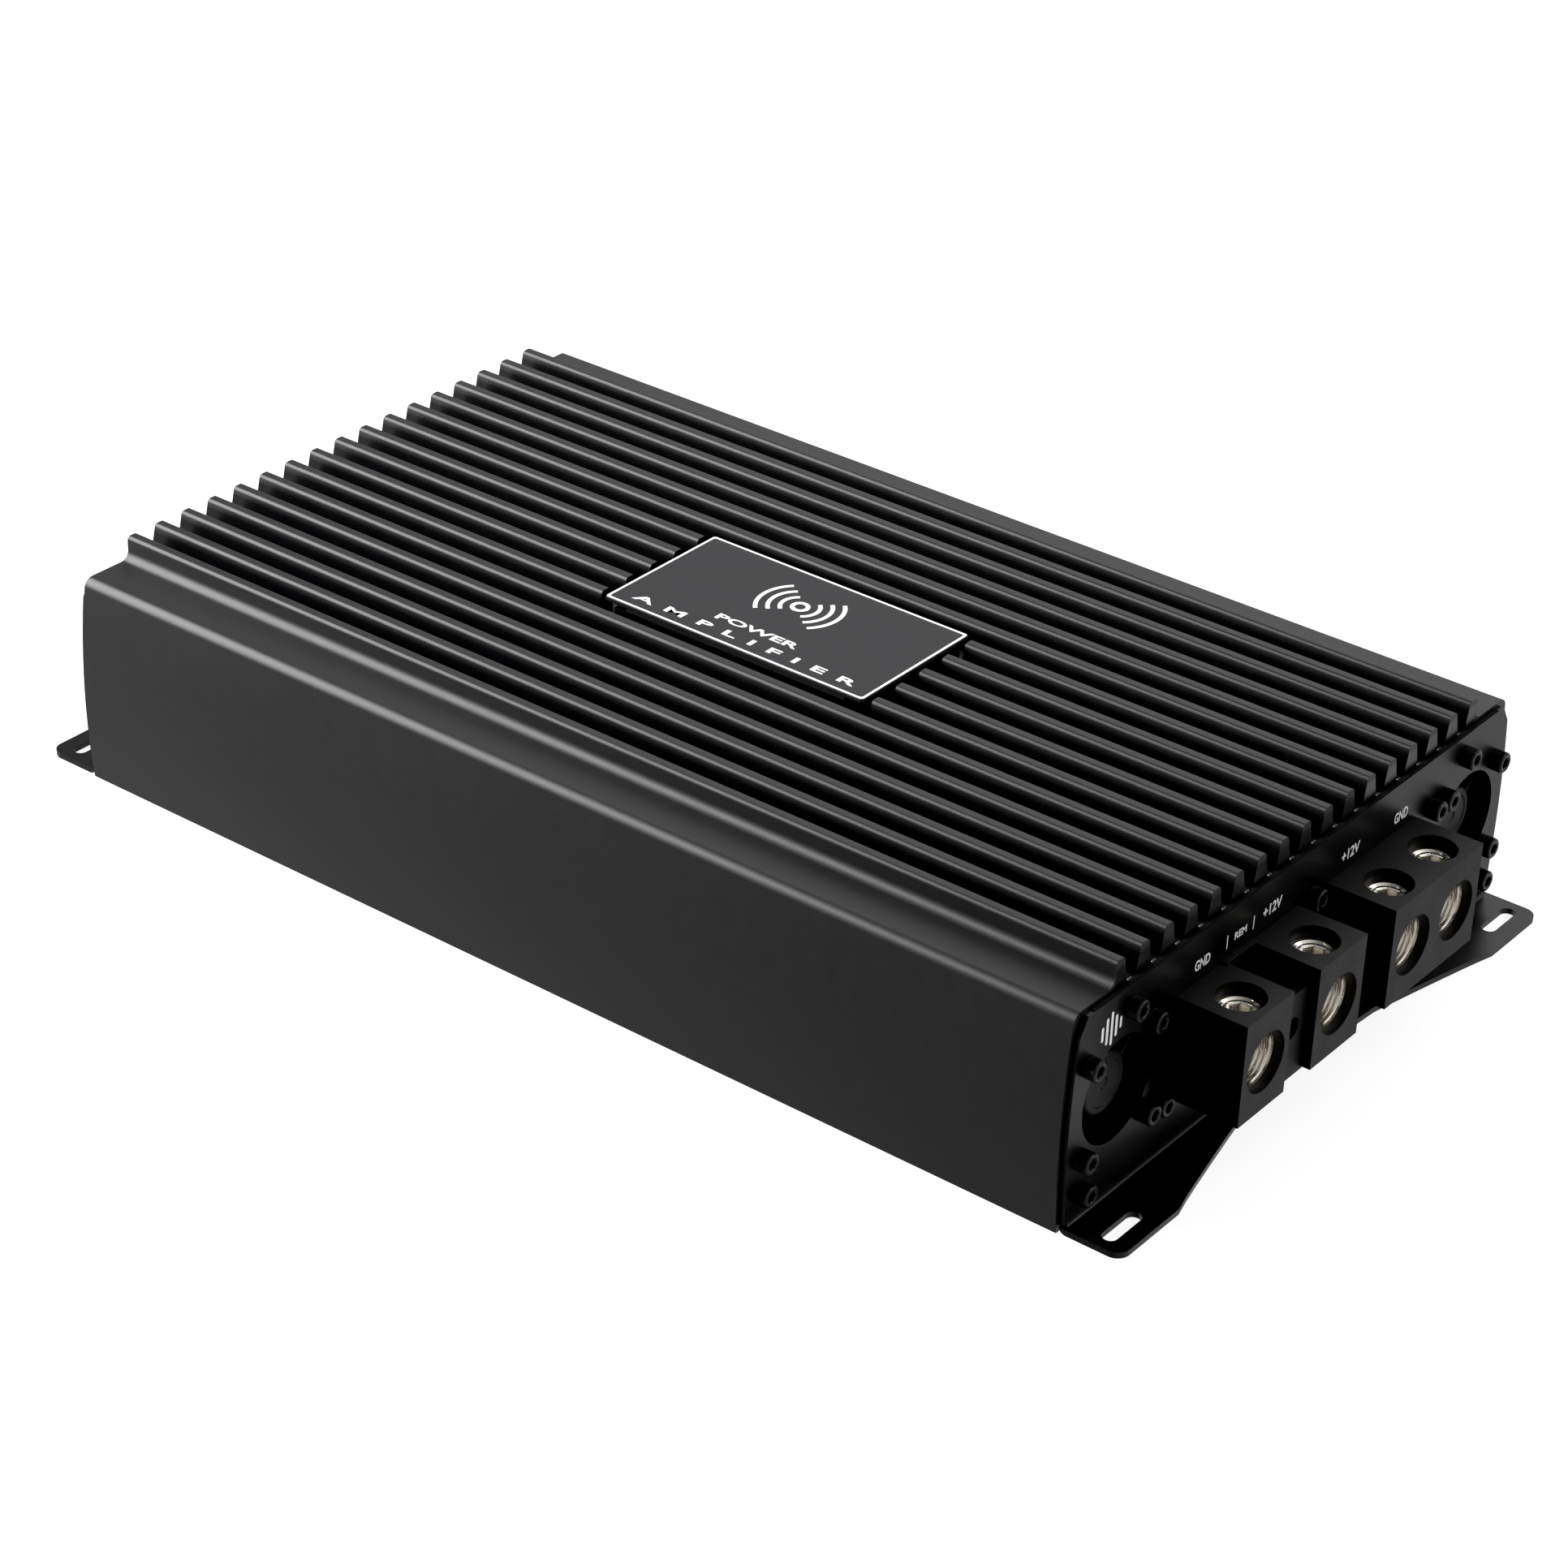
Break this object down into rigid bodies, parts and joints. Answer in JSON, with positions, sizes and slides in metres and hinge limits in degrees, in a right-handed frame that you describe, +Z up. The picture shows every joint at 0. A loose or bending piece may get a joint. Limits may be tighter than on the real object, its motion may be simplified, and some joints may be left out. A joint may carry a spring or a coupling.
{
  "type": "car amplifier",
  "caption": "Finned car power amplifier with fan-cooled end plates, clamp cable terminals, slotted mounting tabs, signal sockets and level knobs.",
  "frame": {"origin": "centre of the footprint, on the surface that the amplifier stands on", "axes": "+X along the fins towards the power terminals, +Y across the fins, +Z up"},
  "size_m": [0.447, 0.2472, 0.0825],
  "materials": {
    "black_anodised": "satin black anodised extrusion",
    "black_coated_steel": "semi-gloss black powder coat on folded steel sheet",
    "nameplate_metal": "dark grey satin plate",
    "foam_pad": "closed-cell foam adhesive pad",
    "black_moulding": "matte black glass-filled moulding",
    "nickel_plate": "warm bright nickel plate on turned brass",
    "fan_plastic": "black fan moulding",
    "black_oxide_steel": "black oxide steel screws",
    "zinc_steel": "zinc-plated steel",
    "contact_plastic": "pale socket insulator with a metal sleeve",
    "pot_case": "moulded potentiometer case",
    "knob_plastic": "black knob moulding",
    "gold_contact": "gold-coloured spring contacts",
    "light_lens": "tinted clear lens",
    "circuit_board": "green solder mask",
    "brass_standoff": "plain hexagon brass",
    "chip_case": "black moulded package",
    "plain_aluminium": "plain extruded bar",
    "grey_rubber": "grey silicone pad",
    "capacitor_sleeve": "shrink sleeve",
    "ferrite": "painted ferrite ring",
    "copper_wire": "enamelled copper wire",
    "wire_sleeve": "insulated wire"
  },
  "bodies": {
    "chassis": {"heatsink": "black_anodised", "base_plate": "black_coated_steel", "power_end_plate": "black_coated_steel", "control_end_plate": "black_coated_steel", "nameplate": "nameplate_metal", "nameplate_pad": "foam_pad", "triple_terminal_block": "black_moulding", "double_terminal_block": "black_moulding", "ground_insert_a": "nickel_plate", "positive_insert_a": "nickel_plate", "positive_insert_b": "nickel_plate", "ground_insert_b": "nickel_plate", "remote_insert": "nickel_plate", "fan_frames": "fan_plastic", "fan_stators": "copper_wire", "fan_screws": "black_oxide_steel", "power_end_screws": "black_oxide_steel", "control_end_screws": "black_oxide_steel", "base_screws": "black_oxide_steel", "terminal_screws": "zinc_steel", "speaker_block": "black_moulding", "speaker_inserts": "nickel_plate", "phono_block": "black_moulding", "phono_shells": "nickel_plate", "phono_contacts": "contact_plastic", "potentiometers": "pot_case", "switch_bodies": "zinc_steel", "remote_level_socket": "black_moulding", "socket_contacts": "gold_contact", "indicator_lights": "light_lens", "main_board": "circuit_board", "board_standoffs": "brass_standoff", "board_screws": "zinc_steel", "power_transistors": "chip_case", "transistor_clamps": "plain_aluminium", "thermal_pads": "grey_rubber", "input_capacitors": "capacitor_sleeve", "rail_capacitors": "capacitor_sleeve", "transformer_cores": "ferrite", "transformer_windings": "copper_wire", "output_inductors": "copper_wire", "upright_boards": "circuit_board", "fan_leads": "wire_sleeve"},
    "left_fan_rotor": {"left_fan_rotor": "fan_plastic"},
    "right_fan_rotor": {"right_fan_rotor": "fan_plastic"},
    "ground_clamp_screw_a": {"ground_clamp_screw_a": "nickel_plate"},
    "positive_clamp_screw_a": {"positive_clamp_screw_a": "nickel_plate"},
    "positive_clamp_screw_b": {"positive_clamp_screw_b": "nickel_plate"},
    "ground_clamp_screw_b": {"ground_clamp_screw_b": "nickel_plate"},
    "remote_clamp_screw": {"remote_clamp_screw": "nickel_plate"},
    "speaker_clamp_screw_1": {"speaker_clamp_screw_1": "nickel_plate"},
    "speaker_clamp_screw_2": {"speaker_clamp_screw_2": "nickel_plate"},
    "speaker_clamp_screw_3": {"speaker_clamp_screw_3": "nickel_plate"},
    "speaker_clamp_screw_4": {"speaker_clamp_screw_4": "nickel_plate"},
    "gain_knob": {"gain_knob": "knob_plastic"},
    "low_pass_knob": {"low_pass_knob": "knob_plastic"},
    "subsonic_knob": {"subsonic_knob": "knob_plastic"},
    "bass_boost_knob": {"bass_boost_knob": "knob_plastic"},
    "phase_slider": {"phase_slider": "knob_plastic"},
    "mode_slider": {"mode_slider": "knob_plastic"}
  },
  "joints": [
    {"name": "left_fan_spin", "type": "hinge", "parent": "chassis", "child": "left_fan_rotor", "pos_m": [0.19, -0.0985, 0.039], "axis": [1, 0, 0], "continuous": true},
    {"name": "right_fan_spin", "type": "hinge", "parent": "chassis", "child": "right_fan_rotor", "pos_m": [0.19, 0.0985, 0.039], "axis": [1, 0, 0], "continuous": true},
    {"name": "ground_clamp_a_travel", "type": "slide", "parent": "chassis", "child": "ground_clamp_screw_a", "axis": [0, 0, -1], "range_m": [0, 0.007]},
    {"name": "positive_clamp_a_travel", "type": "slide", "parent": "chassis", "child": "positive_clamp_screw_a", "axis": [0, 0, -1], "range_m": [0, 0.007]},
    {"name": "positive_clamp_b_travel", "type": "slide", "parent": "chassis", "child": "positive_clamp_screw_b", "axis": [0, 0, -1], "range_m": [0, 0.007]},
    {"name": "ground_clamp_b_travel", "type": "slide", "parent": "chassis", "child": "ground_clamp_screw_b", "axis": [0, 0, -1], "range_m": [0, 0.007]},
    {"name": "remote_clamp_travel", "type": "slide", "parent": "chassis", "child": "remote_clamp_screw", "axis": [0, 0, -1], "range_m": [0, 0.003]},
    {"name": "speaker_clamp_1_travel", "type": "slide", "parent": "chassis", "child": "speaker_clamp_screw_1", "axis": [0, 0, -1], "range_m": [0, 0.004]},
    {"name": "speaker_clamp_2_travel", "type": "slide", "parent": "chassis", "child": "speaker_clamp_screw_2", "axis": [0, 0, -1], "range_m": [0, 0.004]},
    {"name": "speaker_clamp_3_travel", "type": "slide", "parent": "chassis", "child": "speaker_clamp_screw_3", "axis": [0, 0, -1], "range_m": [0, 0.004]},
    {"name": "speaker_clamp_4_travel", "type": "slide", "parent": "chassis", "child": "speaker_clamp_screw_4", "axis": [0, 0, -1], "range_m": [0, 0.004]},
    {"name": "gain_knob_turn", "type": "hinge", "parent": "chassis", "child": "gain_knob", "pos_m": [-0.203, -0.06, 0.048], "axis": [-1, 0, 0], "range_deg": [-140, 140]},
    {"name": "low_pass_knob_turn", "type": "hinge", "parent": "chassis", "child": "low_pass_knob", "pos_m": [-0.203, -0.042, 0.048], "axis": [-1, 0, 0], "range_deg": [-140, 140]},
    {"name": "subsonic_knob_turn", "type": "hinge", "parent": "chassis", "child": "subsonic_knob", "pos_m": [-0.203, -0.06, 0.028], "axis": [-1, 0, 0], "range_deg": [-140, 140]},
    {"name": "bass_boost_knob_turn", "type": "hinge", "parent": "chassis", "child": "bass_boost_knob", "pos_m": [-0.203, -0.042, 0.028], "axis": [-1, 0, 0], "range_deg": [-140, 140]},
    {"name": "phase_slider_travel", "type": "slide", "parent": "chassis", "child": "phase_slider", "axis": [0, 1, 0], "range_m": [0, 0.003]},
    {"name": "mode_slider_travel", "type": "slide", "parent": "chassis", "child": "mode_slider", "axis": [0, 1, 0], "range_m": [0, 0.003]}
  ]
}
